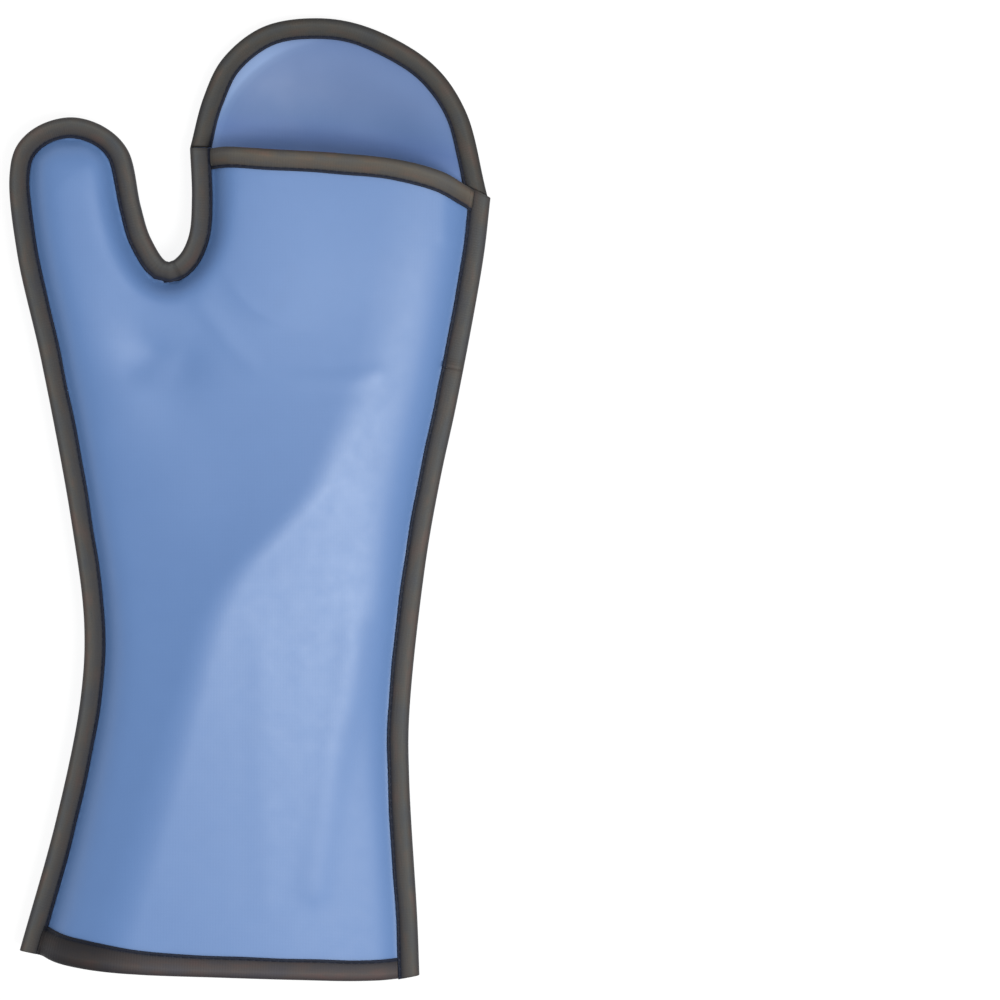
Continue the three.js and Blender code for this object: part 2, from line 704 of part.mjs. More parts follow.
const glove = new THREE.Group();
glove.name = 'lead_lined_glove';
glove.add(panel('palm_panel', palmChain, palmHeight, PALM_MESH, creaseExtra, 0x7d99c6));
glove.add(panel('back_panel', backChain, backHeight, BACK_MESH, [], 0x7488b2));
glove.add(seamTape('thumb_side_binding', sidePath, thumbRuns, { start: hemAtThumb }, 0x4a4749));
glove.add(seamTape('hand_side_binding', sidePath, handRuns, { end: mouthAtHand }, 0x514e4e));
glove.add(seamTape('little_finger_binding_lower', littlePath, lowerRuns, { start: hemAtLittle }, 0x504d4e));
glove.add(seamTape('little_finger_binding_upper', littlePath, upperRuns, { end: mouthAtLittle }, 0x575352));
glove.add(edgeTape('half_moon_binding', moonPath, moonRuns, backHeight,
  { start: mouthAtHand, end: mouthAtLittle }, { side: 0, start: 0, end: 0 }, 0x454344));
glove.add(edgeTape('palm_mouth_binding', mouthPath, mouthRuns, palmHeight,
  { start: alongHand, end: alongLittleTop }, { side: -1, start: 1.5 * RAW, end: 1.5 * RAW }, 0x5c5854));
glove.add(edgeTape('palm_cuff_binding', hemPath, hemPalmRuns, palmHeight,
  { start: alongThumb, end: alongLittleHem }, { side: -1, start: 1.9 * RAW, end: 3 * RAW }, 0x4c494c));
glove.add(edgeTape('back_cuff_binding', hemPath, hemBackRuns, backHeight,
  { start: alongThumb, end: alongLittleHem }, { side: 1, start: 1.9 * RAW, end: 3 * RAW }, 0x4c494c));

export default glove;
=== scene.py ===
"""Looks of the lead lined open palm glove, which lies palm side up on its back panel.

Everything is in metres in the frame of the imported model: +X towards the little finger,
+Y towards the fingertips, +Z up from the surface. Outline rows are in shares, as in the
part's source: up in 962nds of LENGTH from the hem, side in 480ths of WIDTH from the middle.
"""

import math
import random
from collections import namedtuple

import bpy
import numpy as np
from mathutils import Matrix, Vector
from mathutils.geometry import delaunay_2d_cdt


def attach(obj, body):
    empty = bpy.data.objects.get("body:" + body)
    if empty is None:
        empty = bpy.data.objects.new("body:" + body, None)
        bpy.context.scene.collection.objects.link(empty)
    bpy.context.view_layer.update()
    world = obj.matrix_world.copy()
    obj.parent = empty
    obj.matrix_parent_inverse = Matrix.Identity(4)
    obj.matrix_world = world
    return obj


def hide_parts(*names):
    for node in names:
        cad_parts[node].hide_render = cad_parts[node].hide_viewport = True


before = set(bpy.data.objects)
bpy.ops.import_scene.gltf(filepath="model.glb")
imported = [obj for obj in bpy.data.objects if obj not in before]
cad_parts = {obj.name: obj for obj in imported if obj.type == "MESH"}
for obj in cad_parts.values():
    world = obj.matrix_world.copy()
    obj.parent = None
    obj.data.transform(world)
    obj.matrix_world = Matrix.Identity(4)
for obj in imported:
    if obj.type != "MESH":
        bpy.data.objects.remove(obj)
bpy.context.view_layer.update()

# Named sizes
LENGTH = 0.400         # hem to the tip of the finger half-moon
WIDTH = 0.200          # thumb side to little finger side, at the widest
WALL = 0.002           # sheet of each panel
TAPE = 0.001           # thickness of the binding tape
TAPE_WIDTH = 0.008     # width of tape on each face of the part
SEEN_WIDTH = 0.0088    # and with the rolled free edge of the real tape
GAP = 0.0003
EDGE_GAP = 0.0004
CROWN = 0.026          # tallest rise of the palm panel above its seams
SEAM_LIFT = 0.011      # height of the seam above the surface at the palm
FLANGE = TAPE_WIDTH + 4 * GAP
RAW = TAPE + EDGE_GAP
HALF_PAIR = (WALL + GAP) / 2
RIM_RISE = 0.15
HEM_RISE = 0.08
TOUCH = 0.00008        # clearance of a tape's free edge over the cloth
MM = 0.001
POINTS_A_ROW = 20      # points of a curve for each row of its table
SEAM_POINTS = 4        # a seam's line keeps one of so many of the curve's points
TANGENT_STEP = 1.2 * MM
NORMAL_STEP = 0.4 * MM

# Outline rows of the finished edges: side, up
THUMB_AND_HAND = [
    (-230, 29), (-193, 161), (-169, 279), (-165, 354), (-178, 459),
    (-208, 619), (-232, 725), (-240, 803), (-233, 833), (-212, 853),
    (-178, 862), (-145, 852), (-122, 829), (-109, 773), (-99, 741),
    (-82, 717), (-71, 723), (-61, 743), (-58, 781), (-60, 831),
]
THUMB_TIP_ROW = 10
CROTCH_ROW = 15
LITTLE_FINGER = [
    (169, 4), (167, 59), (159, 199), (159, 264), (175, 414),
    (190, 500), (207, 579), (233, 721), (240, 781),
]
TAPE_JOIN_UP = 606
HALF_MOON = [
    (-60, 832), (-47, 882), (-28, 921), (12, 953), (68, 962),
    (120, 952), (182, 916), (215, 869), (236, 787),
]
MOUTH = [
    (-60, 831), (-30, 830.5), (20, 827), (90, 823),
    (150, 816.5), (192, 805.5), (216, 793), (240, 781),
]
HEM = [
    (-230, 29), (-180, 18.4), (-108, 11), (-30, 7),
    (50, 3), (110, 0), (150, 0.5), (169, 4),
]
CREASE = [
    (-190, 0), (-168, 79), (-144, 179), (-112, 259), (-72, 339), (-16, 419),
    (42, 465), (82, 499), (112, 579), (138, 640), (154, 700), (164, 779),
]

# Cross-section of the palm panel along the glove, in shares of LENGTH, CROWN and WIDTH
FORM_COLUMNS = ("up", "crown", "reach", "roll", "roll_over", "fall", "soft", "flank")
FORM = [
    (0.00, 1.00, 0.74, 0.30, 0.15, 3.6, 0.22, 3.6),
    (0.08, 1.00, 0.685, 0.32, 0.15, 3.0, 0.20, 3.4),
    (0.19, 0.98, 0.62, 0.30, 0.12, 2.4, 0.16, 2.8),
    (0.29, 0.95, 0.54, 0.22, 0.07, 2.0, 0.12, 2.2),
    (0.39, 0.91, 0.45, 0.17, 0.05, 1.5, 0.10, 1.7),
    (0.49, 0.84, 0.29, 0.16, 0.045, 0.9, 0.10, 0.9),
    (0.56, 0.71, 0.23, 0.15, 0.045, 0.6, 0.10, 0.7),
    (0.63, 0.57, 0.19, 0.13, 0.045, 0.3, 0.10, 0.7),
    (0.69, 0.49, 0.17, 0.12, 0.045, 0.0, 0.11, 0.9),
    (0.75, 0.47, 0.16, 0.11, 0.045, -0.2, 0.12, 1.0),
    (0.87, 0.47, 0.155, 0.10, 0.045, -0.2, 0.16, 1.1),
]
# How the palm panel leaves each seam: rise, over, and slope where no column gives it
LEAVE_LITTLE = (0.12, 0.0225)
LEAVE_THUMB = (0.44, 0.027)
LEAVE_THUMB_INNER = (0.40, 0.022, 1.3)
LEAVE_HAND = (0.46, 0.023, 1.1)
BLEND = 0.24
HAND_BLEND = 0.08
LIFT_COLUMNS = ("up", "lift")
LIFT = [(0.00, 0.74), (0.30, 1.00), (0.70, 1.00), (0.86, 0.84), (1.00, 0.64)]
# Ridges and dents: side, up, to side, to up, rise, over
DENTS = [
    (-190, 779, -170, 679, 0.045, 0.06),
    (-170, 679, -130, 569, 0.09, 0.07),
    (-135, 560, -90, 490, 0.13, 0.10),
    (-70, 614, -108, 626, -0.09, 0.06),
]
# The pad of the palm: side, up, radius, rise, tilt, rear, edge, blend
PAD = (60, 745, 0.18, 0.50, 0.35, 0.1, 2.4, 0.04)
PAD_STRETCH = (1.05, 1.1)  # of its flat top, sideways and along the glove
# Fine folds of the cover, in the scene alone: rows of side and up, rise and half width in metres
FOLDS = [
    ([(-45, 671), (-15, 631), (10, 606), (40, 598), (100, 596), (128, 604)], 0.0004, 0.004),
    ([(14, 340), (15, 250), (20, 85)], 0.0002, 0.006),
    ([(106, 350), (100, 285), (88, 239), (74, 155), (66, 94)], 0.0009, 0.0065),
    ([(194, 800), (194, 742)], 0.0003, 0.003),
    ([(-96, 624), (-108, 610)], -0.0006, 0.006),
]


# Curves
def place(side, up):
    """A point from an outline row."""
    return (side * WIDTH / 480, up * LENGTH / 962 - LENGTH / 2)


def curve_through(rows):
    """Centripetal curve through the rows, with ends that run straight on."""
    p = np.array([place(*r) for r in rows])
    q = np.vstack([2 * p[0] - p[1], p, 2 * p[-1] - p[-2]])
    out = []
    for i in range(1, len(q) - 2):
        t = [0.0]
        for a, b in zip(q[i - 1:i + 2], q[i:i + 3]):
            t.append(t[-1] + math.sqrt(np.hypot(*(b - a))))
        t0, t1, t2, t3 = t
        s = t1 + (t2 - t1) * np.arange(POINTS_A_ROW)[:, None] / POINTS_A_ROW
        a1 = ((t1 - s) * q[i - 1] + (s - t0) * q[i]) / (t1 - t0)
        a2 = ((t2 - s) * q[i] + (s - t1) * q[i + 1]) / (t2 - t1)
        a3 = ((t3 - s) * q[i + 1] + (s - t2) * q[i + 2]) / (t3 - t2)
        b1 = ((t2 - s) * a1 + (s - t0) * a2) / (t2 - t0)
        b2 = ((t3 - s) * a2 + (s - t1) * a3) / (t3 - t1)
        out.append(((t2 - s) * b1 + (s - t1) * b2) / (t2 - t1))
    out.append(p[-1:])
    return np.vstack(out)


class Path:
    """A seam's curve with its run. turn is 1 where the glove lies to its right, -1 to its left."""

    def __init__(self, rows, turn):
        self.points = curve_through(rows)
        self.turn = turn
        steps = np.hypot(*np.diff(self.points, axis=0).T)
        self.run = np.concatenate([[0.0], np.cumsum(steps)])
        self.length = self.run[-1]

    def spot(self, s):
        s = np.asarray(s, float)
        i = np.clip(np.searchsorted(self.run, s), 1, len(self.run) - 1)
        f = (s - self.run[i - 1]) / (self.run[i] - self.run[i - 1])
        return self.points[i - 1] + (self.points[i] - self.points[i - 1]) * f[..., None]

    def along(self, s):
        """Direction of the path, as the part's source takes it."""
        t = self.spot(np.asarray(s) + TANGENT_STEP) - self.spot(np.asarray(s) - TANGENT_STEP)
        return t / np.linalg.norm(t, axis=-1, keepdims=True)

    def inward(self, s, offset, skew=0.0):
        """Points at an offset from the edge towards the glove's middle, leaning along the path by skew."""
        t = self.along(s)
        n = np.stack([t[..., 1], -t[..., 0]], -1) * self.turn
        offset = np.asarray(offset)[..., None]
        return self.spot(s) + offset * (n + np.asarray(skew)[..., None] * t)

    def run_at_row(self, row):
        return self.run[row * POINTS_A_ROW]

    def run_at_up(self, up):
        return self.run[np.argmax(self.points[:, 1] >= place(0, up)[1])]


side_path = Path(THUMB_AND_HAND, 1)
little_path = Path(LITTLE_FINGER, -1)
moon_path = Path(HALF_MOON, 1)
mouth_path = Path(MOUTH, 1)
hem_path = Path(HEM, -1)
crotch_run = side_path.run_at_row(CROTCH_ROW)
join_run = little_path.run_at_up(TAPE_JOIN_UP)


def seam_of(path, from_row=0, to_row=None):
    end = len(path.points) if to_row is None else to_row * POINTS_A_ROW + 1
    line = path.points[from_row * POINTS_A_ROW:end]
    return np.vstack([line[:-1:SEAM_POINTS], line[-1:]])


SEAM_THUMB_SIDE = seam_of(side_path, 0, THUMB_TIP_ROW)
SEAM_THUMB_INNER = seam_of(side_path, THUMB_TIP_ROW, CROTCH_ROW)
SEAM_HAND_INNER = seam_of(side_path, CROTCH_ROW)
SEAM_LITTLE = seam_of(little_path)
SEAM_MOON = seam_of(moon_path)
SEAM_HEM = seam_of(hem_path)


def distance_to(line, p):
    best = np.full(len(p), 1e9)
    for a, b in zip(line[:-1], line[1:]):
        d = b - a
        f = np.clip((p - a) @ d / (d @ d), 0, 1)
        best = np.minimum(best, np.hypot(*(p - a - f[:, None] * d).T))
    return best


def from_table(table, columns, name, value):
    """Smooth reading of one column against the first."""
    up = np.array([r[0] for r in table])
    v = np.array([r[columns.index(name)] for r in table])
    last = len(up) - 1
    low = np.maximum(np.arange(len(up)) - 1, 0)
    high = np.minimum(np.arange(len(up)) + 1, last)
    slope = (v[high] - v[low]) / (up[high] - up[low])
    i = np.clip(np.searchsorted(up, value, side="left") - 1, 0, last - 1)
    h = up[i + 1] - up[i]
    t = np.clip((value - up[i]) / h, 0, 1)
    return (
        (2 * t**3 - 3 * t**2 + 1) * v[i] + (t**3 - 2 * t**2 + t) * h * slope[i]
        + (3 * t**2 - 2 * t**3) * v[i + 1] + (t**3 - t**2) * h * slope[i + 1]
    )


def lesser(a, b, width):
    """The lower of two heights, rounded where they meet."""
    h = np.maximum(width - np.abs(a - b), 0) / width
    return np.minimum(a, b) - h * h * width / 4


def greater(a, b, width):
    return -lesser(-a, -b, width)


def swell(s, over):
    return 1 - np.exp(-((s / over) ** 1.5))


def easing(t):
    t = np.clip(t, 0, 1)
    return t * t * (3 - 2 * t)


# Heights of the middle of each panel's wall
def seam_height(y):
    up = np.clip((y + LENGTH / 2) / LENGTH, 0, 1)
    return SEAM_LIFT * from_table(LIFT, LIFT_COLUMNS, "lift", up)


CREASE_LINE = np.array([place(*r) for r in CREASE])


def palm_rise(p):
    up = np.clip((p[:, 1] + LENGTH / 2) / LENGTH, 0, 1)

    def inside(line):
        return np.maximum(distance_to(line, p) - FLANGE, 0)

    def column(name):
        return from_table(FORM, FORM_COLUMNS, name, up)

    def leave(way, d):
        return CROWN * way[0] * swell(d, WIDTH * way[1])

    thumb_d = inside(SEAM_THUMB_SIDE)
    inner_d = inside(SEAM_THUMB_INNER)
    hand_d = inside(SEAM_HAND_INNER)
    little_d = inside(SEAM_LITTLE)
    crown = CROWN * column("crown")
    roll = CROWN * column("roll")
    reach = WIDTH * column("reach") - FLANGE
    over = WIDTH * column("roll_over")
    steep = CROWN / WIDTH
    rest = crown - leave(LEAVE_LITTLE, reach) - roll * swell(reach, over)
    little = leave(LEAVE_LITTLE, little_d) + roll * swell(little_d, over) + rest / reach * little_d
    thumb = leave(LEAVE_THUMB, thumb_d) + steep * column("flank") * thumb_d
    inner = leave(LEAVE_THUMB_INNER, inner_d) + steep * LEAVE_THUMB_INNER[2] * inner_d
    hand = leave(LEAVE_HAND, hand_d) + steep * LEAVE_HAND[2] * hand_d
    crease_x = np.interp(p[:, 1], CREASE_LINE[:, 1], CREASE_LINE[:, 0])
    roof = crown - steep * column("fall") * (crease_x - p[:, 0])
    for side, at, to_side, to_up, rise, width in DENTS:
        line = np.array([place(side, at), place(to_side, to_up)])
        roof = roof + CROWN * rise * np.exp(-((distance_to(line, p) / (WIDTH * width)) ** 2))
    side, at, radius, rise, tilt, rear, edge, blend = PAD
    dx, dy = (p - np.array(place(side, at))).T
    beyond = np.maximum(np.hypot(dx / PAD_STRETCH[0], dy / PAD_STRETCH[1]) - WIDTH * radius, 0)
    pad = CROWN * rise - steep * (tilt * dx - rear * dy + edge * beyond)
    top = greater(roof, pad, CROWN * blend)
    wide = CROWN * BLEND
    rest_of_hand = lesser(lesser(lesser(thumb, inner, wide), top, wide), hand, CROWN * HAND_BLEND)
    return np.maximum(lesser(rest_of_hand, little, CROWN * column("soft")), 0)


def fold_rise(p):
    total = np.zeros(len(p))
    for rows, rise, over in FOLDS:
        line = np.array([place(*r) for r in rows])
        total += rise * np.exp(-((distance_to(line, p) / over) ** 2))
    return total


def palm_height(p):
    return seam_height(p[:, 1]) + HALF_PAIR + palm_rise(p) + fold_rise(p)


def back_height(p):
    total = np.zeros(len(p))
    for line in (SEAM_THUMB_SIDE, SEAM_THUMB_INNER, SEAM_HAND_INNER, SEAM_LITTLE, SEAM_MOON):
        total += 1 / np.maximum(distance_to(line, p), 1e-6) ** 4
    near = total**-0.25
    rim = easing(1 - (near - FLANGE) / (WIDTH * RIM_RISE))
    hem = easing(1 - (distance_to(SEAM_HEM, p) - FLANGE) / (WIDTH * HEM_RISE))
    low = WALL / 2
    return low + rim * (seam_height(p[:, 1]) - HALF_PAIR - low) + (1 - rim) * hem * RAW


def normals_of(height, p):
    e = NORMAL_STEP
    dx = np.array([e, 0])
    dy = np.array([0, e])
    gx = (height(p + dx) - height(p - dx)) / (2 * e)
    gy = (height(p + dy) - height(p - dy)) / (2 * e)
    n = np.stack([-gx, -gy, np.ones(len(p))], -1)
    return n / np.linalg.norm(n, axis=-1, keepdims=True)


# Meshes
def mesh_object(name, verts, faces, materials, face_material=None, uv=None):
    mesh = bpy.data.meshes.new(name)
    mesh.from_pydata([tuple(v) for v in verts], [], [tuple(f) for f in faces])
    for m in materials:
        mesh.materials.append(m)
    if face_material is not None:
        mesh.polygons.foreach_set("material_index", np.asarray(face_material, np.int32))
    mesh.polygons.foreach_set("use_smooth", np.ones(len(mesh.polygons), bool))
    if uv is not None:
        corner = np.zeros(len(mesh.loops), np.int32)
        mesh.loops.foreach_get("vertex_index", corner)
        layer = mesh.uv_layers.new(name="tape")
        layer.data.foreach_set("uv", np.asarray(uv, np.float32)[corner].ravel())
    mesh.update()
    obj = bpy.data.objects.new(name, mesh)
    bpy.context.scene.collection.objects.link(obj)
    return obj


# Materials
class Nodes:
    """A material's node tree, with short ways to add and join nodes."""

    def __init__(self, name):
        self.material = bpy.data.materials.new(name)
        self.material.use_nodes = True
        self.tree = self.material.node_tree
        self.shader = self.tree.nodes["Principled BSDF"]

    def add(self, kind, **settings):
        node = self.tree.nodes.new(kind)
        for key, value in settings.items():
            setattr(node, key, value)
        return node

    def join(self, source, socket):
        self.tree.links.new(source, socket)

    def math(self, operation, a, b):
        node = self.add("ShaderNodeMath", operation=operation)
        for socket, value in zip(node.inputs, (a, b)):
            if isinstance(value, (int, float)):
                socket.default_value = value
            else:
                self.join(value, socket)
        return node.outputs[0]

    def noise(self, vector, scale, detail=2.0, rough=0.5):
        node = self.add("ShaderNodeTexNoise")
        node.inputs["Scale"].default_value = scale
        node.inputs["Detail"].default_value = detail
        node.inputs["Roughness"].default_value = rough
        self.join(vector, node.inputs["Vector"])
        return node.outputs["Fac"]

    def scaled(self, vector, scale):
        node = self.add("ShaderNodeMapping")
        node.inputs["Scale"].default_value = scale
        self.join(vector, node.inputs["Vector"])
        return node.outputs["Vector"]

    def bands(self, vector, direction, pitch):
        node = self.add("ShaderNodeTexWave", wave_type="BANDS", bands_direction=direction)
        node.inputs["Scale"].default_value = 2 * math.pi / (20 * pitch)
        self.join(vector, node.inputs["Vector"])
        return node.outputs["Fac"]

    def ramp(self, value, stops):
        node = self.add("ShaderNodeValToRGB")
        elements = node.color_ramp.elements
        for stop, (position, colour) in zip((elements[0], elements[1]), (stops[0], stops[-1])):
            stop.position = position
            stop.color = (*colour, 1)
        for position, colour in stops[1:-1]:
            elements.new(position).color = (*colour, 1)
        self.join(value, node.inputs["Fac"])
        return node.outputs["Color"]

    def mix(self, factor, a, b, blend="MIX"):
        node = self.add("ShaderNodeMix", data_type="RGBA", blend_type=blend)
        sockets = (node.inputs[0], node.inputs[6], node.inputs[7])  # factor and the two colours
        for socket, value in zip(sockets, (factor, a, b)):
            if isinstance(value, (int, float)):
                socket.default_value = value
            elif isinstance(value, tuple):
                socket.default_value = (*value, 1)
            else:
                self.join(value, socket)
        return node.outputs[2]

    def tinted(self, base, tint):
        return self.mix(1.0, base, tint, "MULTIPLY")

    def spread(self, value, low, high):
        node = self.add("ShaderNodeMapRange")
        node.inputs["To Min"].default_value = low
        node.inputs["To Max"].default_value = high
        self.join(value, node.inputs["Value"])
        return node.outputs["Result"]

    def bump(self, height, strength, distance, before=None):
        node = self.add("ShaderNodeBump")
        node.inputs["Strength"].default_value = strength
        node.inputs["Distance"].default_value = distance
        self.join(height, node.inputs["Height"])
        if before is not None:
            self.join(before, node.inputs["Normal"])
        return node.outputs["Normal"]


# Painted light and shade on the half-moon's cloth. The first table tints it from the mouth up: painted light
# right at the mouth, where the palm panel's shade falls, then painted shade above it that fades out, a little
# lighter at the top of its reach. The second paints a highlight along the thumb side of its edge
MOUTH_PAINTED_LIGHT_AND_SHADE = [
    (0.00, (1.25, 1.28, 1.32)),
    (0.12, (1.00, 1.06, 1.14)),
    (0.30, (0.82, 0.92, 1.04)),
    (0.60, (0.93, 1.00, 1.02)),
    (1.00, (1.08, 1.06, 1.03)),
]
# painted highlight along the rim, lighter towards the edge
RIM_PAINTED_HIGHLIGHT = [
    (0.00, (1.00, 1.00, 1.00)),
    (0.40, (1.06, 1.05, 1.03)),
    (0.75, (1.35, 1.28, 1.17)),
    (1.00, (1.90, 1.70, 1.45)),
]
# reach of the painted light and shade up from the mouth
MOUTH_SHADE_REACH = 0.026
MOUTH_TOP = 0.147
MOUTH_SAG = 1.1            # drop of the mouth's line, over the square of the way from its left end
MOUTH_LEFT = -0.025
# width of the painted highlight inside the rim
RIM_HIGHLIGHT_WIDTH = 0.0065
MOON_CENTRE = (0.0354, 0.1389)
MOON_RADIUS = 0.0525       # of the arc that the painted highlight on the edge follows
FULL_HIGHLIGHT_SHARE = 0.6           # share of the radius to the side of the centre, from which the edge's painted highlight is full


def painted_light_colour(n, where, base):
    """The half-moon's colour with its painted light and shade."""
    parts = n.add("ShaderNodeSeparateXYZ")
    n.join(where, parts.inputs["Vector"])
    x = parts.outputs["X"]
    y = parts.outputs["Y"]
    aside = n.math("SUBTRACT", x, MOUTH_LEFT)
    drop = n.math("MULTIPLY", n.math("MULTIPLY", aside, aside), MOUTH_SAG)
    beyond = n.math("SUBTRACT", n.math("ADD", y, drop), MOUTH_TOP)
    # painted light right at the mouth and painted shade of the mouth a little above it
    base = n.tinted(base, n.ramp(n.math("DIVIDE", beyond, MOUTH_SHADE_REACH), MOUTH_PAINTED_LIGHT_AND_SHADE))
    dx = n.math("SUBTRACT", x, MOON_CENTRE[0])
    dy = n.math("SUBTRACT", y, MOON_CENTRE[1])
    away = n.math("SQRT", n.math("ADD", n.math("MULTIPLY", dx, dx), n.math("MULTIPLY", dy, dy)), 0)
    # painted highlight along the thumb side of the rim, where the raised rim catches the light
    rim = n.math("DIVIDE", n.math("SUBTRACT", away, MOON_RADIUS - RIM_HIGHLIGHT_WIDTH), RIM_HIGHLIGHT_WIDTH)
    thumb_side = n.math("DIVIDE", dx, -FULL_HIGHLIGHT_SHARE * MOON_RADIUS)
    thumb_side = n.math("MINIMUM", n.math("MAXIMUM", thumb_side, 0), 1)
    return n.mix(thumb_side, base, n.tinted(base, n.ramp(rim, RIM_PAINTED_HIGHLIGHT)))


MOTTLE = ((0.07, 0.132, 0.30), (0.13, 0.242, 0.48))
WEAVE_PITCH = (0.00062, 0.00056)


def cover_material(name, colour, tint, rough, painted_light=False):
    """Satin coated cloth over lead vinyl: a fine plain weave under a thin coat."""
    n = Nodes(name)
    where = n.add("ShaderNodeTexCoord").outputs["Object"]
    broad = n.noise(where, 14, 2)
    mottle = n.noise(where, 90, 3)
    base = n.mix(n.spread(broad, 0.0, 1.0), colour, tint)
    base = n.mix(0.10, base, n.mix(mottle, *MOTTLE))
    # the half-moon gets painted light and shade over the mouth and a painted highlight on its rim
    if painted_light:
        base = painted_light_colour(n, where, base)
    n.join(base, n.shader.inputs["Base Color"])
    n.join(n.spread(n.noise(where, 160, 2), rough - 0.04, rough + 0.05), n.shader.inputs["Roughness"])
    weave = n.math("MULTIPLY", n.bands(where, "X", WEAVE_PITCH[0]), n.bands(where, "Y", WEAVE_PITCH[1]))
    cloth = n.bump(weave, 0.10, 0.0002)
    slack = n.noise(where, 45, 2)
    n.join(n.bump(slack, 0.02, 0.002, cloth), n.shader.inputs["Normal"])
    n.shader.inputs["Specular IOR Level"].default_value = 0.3 if painted_light else 0.5
    return n.material


# Tints of a tape's patches, of its palest streaks, and the pitch of its cross ribs
WARMTH = [
    (0.30, (0.80, 0.88, 1.00)),
    (0.46, (0.95, 0.98, 0.96)),
    (0.56, (1.10, 1.02, 0.90)),
    (0.70, (1.42, 1.04, 0.88)),
]
STREAK = (1.48, 1.41, 1.36)
RIB_PITCH = 0.0011
WARM_HALF = 0.035          # half width of the reddish line, in shares across the tape
SHADE_REACH = 0.1          # run that the painted shade's stops cover


def tape_material(name, across, warm=None, shade=None):
    """Woven binding tape: lengthwise streaks, fine cross ribs and warmer patches. warm is a short
    reddish line, as from and to along the tape, place across it and colour, and shade is painted
    shade along its start, as a tint."""
    n = Nodes(name)
    uv = n.add("ShaderNodeUVMap", uv_map="tape").outputs["UV"]
    parts = n.add("ShaderNodeSeparateXYZ")
    n.join(uv, parts.inputs["Vector"])
    u = parts.outputs["X"]
    v = parts.outputs["Y"]
    base = n.ramp(v, across)
    streaks = n.noise(n.scaled(uv, (28, 9, 1)), 1.0, 3, 0.6)
    base = n.mix(n.spread(streaks, 0.0, 1.0), base, STREAK, "MULTIPLY")
    patch = n.noise(n.scaled(uv, (70, 4.5, 1)), 1.0, 3)
    base = n.mix(0.85, base, n.ramp(patch, WARMTH), "MULTIPLY")
    if warm is not None:
        low, high, at, colour = warm
        inside = n.math("MULTIPLY", n.math("GREATER_THAN", u, low), n.math("LESS_THAN", u, high))
        near = n.math("LESS_THAN", n.math("ABSOLUTE", n.math("SUBTRACT", v, at), 0), WARM_HALF)
        base = n.mix(n.math("MULTIPLY", inside, near), base, colour)
    if shade is not None:
        # painted shade along the tape's start
        base = n.tinted(base, n.ramp(n.math("DIVIDE", u, SHADE_REACH), shade))
    n.join(base, n.shader.inputs["Base Color"])
    n.join(n.spread(streaks, 0.62, 0.82), n.shader.inputs["Roughness"])
    ribs = n.bands(uv, "X", RIB_PITCH)
    threads = n.noise(n.scaled(uv, (150, 34, 1)), 1.0, 2)
    grain = n.bump(ribs, 0.22, 0.00022)
    n.join(n.bump(threads, 0.35, 0.0003, grain), n.shader.inputs["Normal"])
    n.shader.inputs["Sheen Weight"].default_value = 0.04
    n.shader.inputs["Sheen Roughness"].default_value = 0.5
    n.shader.inputs["Specular IOR Level"].default_value = 0.2
    return n.material


def thread_material(name, colour):
    """Matt twisted thread."""
    n = Nodes(name)
    where = n.add("ShaderNodeTexCoord").outputs["Object"]
    twist = n.noise(where, 1600, 2)
    n.join(n.mix(twist, colour, tuple(1.9 * c for c in colour)), n.shader.inputs["Base Color"])
    n.join(n.bump(twist, 0.3, 0.0001), n.shader.inputs["Normal"])
    n.shader.inputs["Roughness"].default_value = 0.75
    n.shader.inputs["Specular IOR Level"].default_value = 0.2
    return n.material


PALM_BLUE = cover_material("palm_blue", (0.090, 0.187, 0.414), (0.098, 0.201, 0.434), 0.54)
BACK_BLUE = cover_material("back_blue", (0.092, 0.165, 0.354), (0.102, 0.180, 0.380), 0.55)
# the half-moon's cloth carries painted light and shade over the mouth and a painted highlight on its rim
MOON_BLUE = cover_material("moon_blue", (0.094, 0.160, 0.340), (0.104, 0.174, 0.364), 0.55, painted_light=True)
NAVY = (0.004, 0.007, 0.020)


def tape_stops(dark, mid, light):
    """Colours across the tape from one free edge over the fold to the other: over the tape's dark grey, a
    painted highlight along the middle of each face and painted shade towards the fold and the free edge.
    """
    places = (0.00, 0.062, 0.085, 0.17, 0.29, 0.35, 0.41)
    half = list(zip(places, (NAVY, NAVY, dark, mid, light, mid, dark)))
    return half + [(1 - at, colour) for at, colour in reversed(half)]


SIDE_TAPE = tape_material(
    "side_tape", tape_stops((0.022, 0.021, 0.024), (0.038, 0.036, 0.037), (0.058, 0.059, 0.059)))
MOON_TAPE = tape_material(
    "half_moon_tape", tape_stops((0.020, 0.019, 0.020), (0.034, 0.033, 0.032), (0.048, 0.048, 0.047)))
MOUTH_TAPE = tape_material(
    "mouth_tape", tape_stops((0.034, 0.031, 0.030), (0.056, 0.050, 0.045), (0.072, 0.066, 0.058)),
    warm=(0.022, 0.062, 0.47, (0.075, 0.020, 0.008)))
# painted shade of the hem tape by the thumb-side corner
HEM_PAINTED_SHADE = [
    (0.00, (0.70, 0.70, 0.70)),
    (0.18, (0.42, 0.43, 0.44)),
    (0.34, (0.50, 0.50, 0.50)),
    (0.62, (1.00, 1.00, 1.00)),
]
HEM_TAPE = tape_material(
    "hem_tape", tape_stops((0.021, 0.018, 0.022), (0.037, 0.032, 0.036), (0.054, 0.048, 0.052)),
    shade=HEM_PAINTED_SHADE)
THREAD = thread_material("navy_thread", (0.003, 0.005, 0.013))


# Panels
CORNER_REACH = 0.02        # how far an edge runs past a corner before it is cut at the next edge
EDGE_APART = 0.3           # least distance of two points of the edge, in spacings
GRID_INSET = 0.6           # and of the grid from the edge


